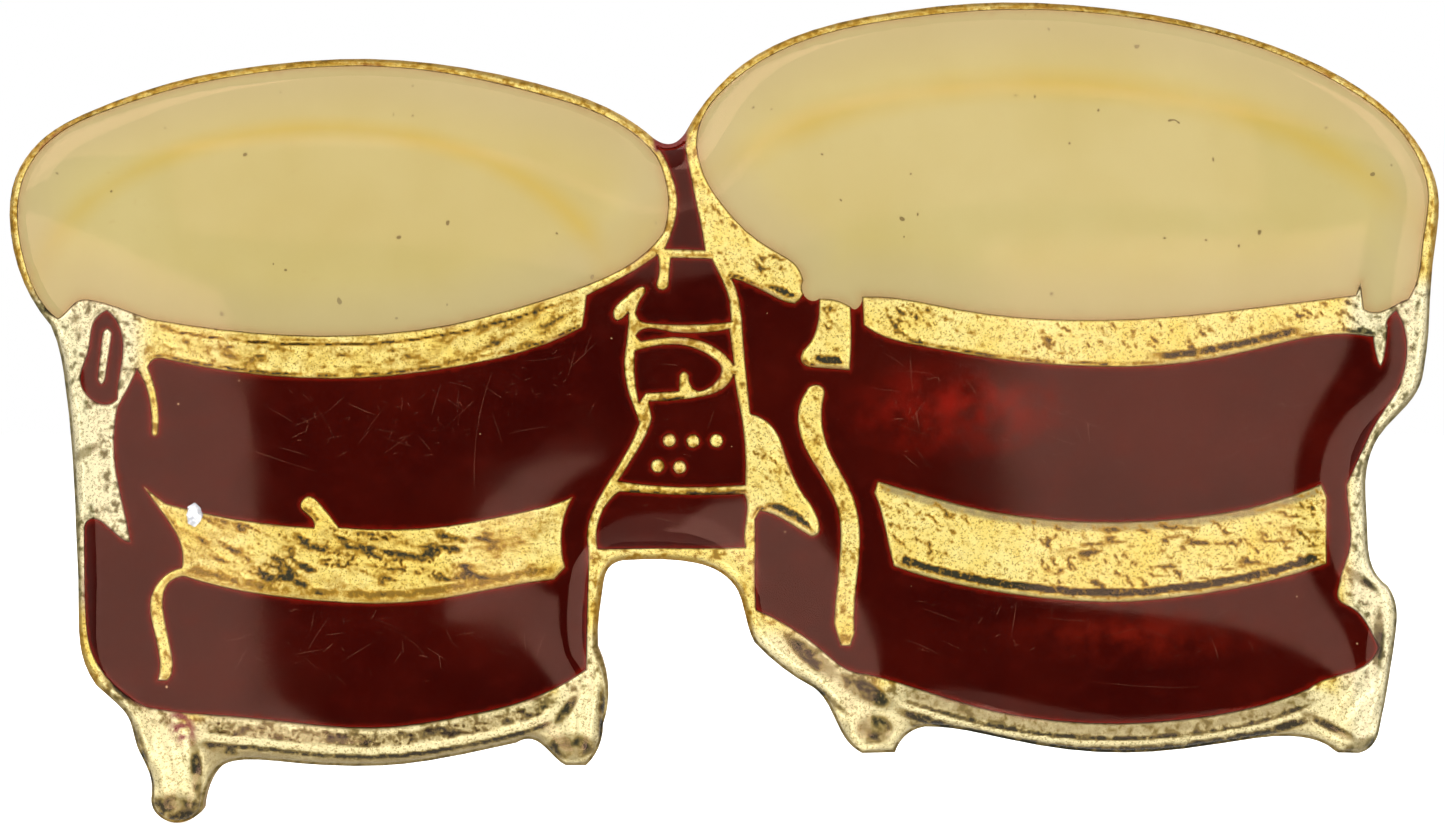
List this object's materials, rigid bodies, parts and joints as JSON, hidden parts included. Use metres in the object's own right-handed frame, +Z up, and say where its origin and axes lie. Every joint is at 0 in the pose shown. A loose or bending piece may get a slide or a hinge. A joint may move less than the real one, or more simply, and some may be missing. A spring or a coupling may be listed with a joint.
{
  "type": "enamel lapel pin",
  "caption": "Domed soft-enamel lapel pin showing a pair of bongo drums, with pointed posts and butterfly clutches.",
  "frame": {"origin": "centre of the plate's back face, which lies on the cloth, midway between the two posts", "axes": "+X to the right seen from the front, +Y out of the back along the posts, +Z up as worn"},
  "size_m": [0.0318, 0.0105, 0.0182],
  "materials": {
    "gold_plate": "polished and pebbled gold plate",
    "cream_enamel": "soft enamel under resin",
    "maroon_enamel": "soft enamel under resin",
    "clear_epoxy": "clear glossy resin dome",
    "post_metal": "gold plated",
    "solder": "plated solder, uneven",
    "clutch_metal": "bright gold-coloured plate",
    "spring_steel": "drawn wire"
  },
  "bodies": {
    "badge": {"base_plate": "gold_plate", "enamel_head_left": "cream_enamel", "enamel_head_right": "cream_enamel", "enamel_shell_left": "maroon_enamel", "enamel_shell_right": "maroon_enamel", "enamel_lug_ring": "maroon_enamel", "enamel_gap": "maroon_enamel", "enamel_block_upper": "maroon_enamel", "enamel_eye": "maroon_enamel", "enamel_block_middle": "maroon_enamel", "enamel_block_lower": "maroon_enamel", "epoxy_dome": "clear_epoxy", "post_left": "post_metal", "solder_left": "solder", "post_right": "post_metal", "solder_right": "solder"},
    "clutch_left": {"clutch_disc_left": "clutch_metal", "clutch_housing_left": "clutch_metal", "grip_spring_left": "spring_steel"},
    "wing_upper_left": {"wing_upper_left": "clutch_metal"},
    "wing_lower_left": {"wing_lower_left": "clutch_metal"},
    "clutch_right": {"clutch_disc_right": "clutch_metal", "clutch_housing_right": "clutch_metal", "grip_spring_right": "spring_steel"},
    "wing_upper_right": {"wing_upper_right": "clutch_metal"},
    "wing_lower_right": {"wing_lower_right": "clutch_metal"}
  },
  "joints": [
    {"name": "clutch_left_slide", "type": "slide", "parent": "badge", "child": "clutch_left", "axis": [0, 1, 0], "range_m": [-0.0014, 0.012]},
    {"name": "wing_upper_left_squeeze", "type": "hinge", "parent": "clutch_left", "child": "wing_upper_left", "pos_m": [-0.0085, 0.00422, 0.00315], "axis": [-1, 0, 0], "range_deg": [0, 10], "stiffness_Nm_per_rad": 0.05, "deforming": ["grip_spring_left"]},
    {"name": "wing_lower_left_squeeze", "type": "hinge", "parent": "clutch_left", "child": "wing_lower_left", "pos_m": [-0.0085, 0.00422, -0.00315], "axis": [1, 0, 0], "range_deg": [0, 10], "stiffness_Nm_per_rad": 0.05},
    {"name": "clutch_right_slide", "type": "slide", "parent": "badge", "child": "clutch_right", "axis": [0, 1, 0], "range_m": [-0.0014, 0.012]},
    {"name": "wing_upper_right_squeeze", "type": "hinge", "parent": "clutch_right", "child": "wing_upper_right", "pos_m": [0.0085, 0.00422, 0.00315], "axis": [-1, 0, 0], "range_deg": [0, 10], "stiffness_Nm_per_rad": 0.05, "deforming": ["grip_spring_right"]},
    {"name": "wing_lower_right_squeeze", "type": "hinge", "parent": "clutch_right", "child": "wing_lower_right", "pos_m": [0.0085, 0.00422, -0.00315], "axis": [1, 0, 0], "range_deg": [0, 10], "stiffness_Nm_per_rad": 0.05}
  ]
}
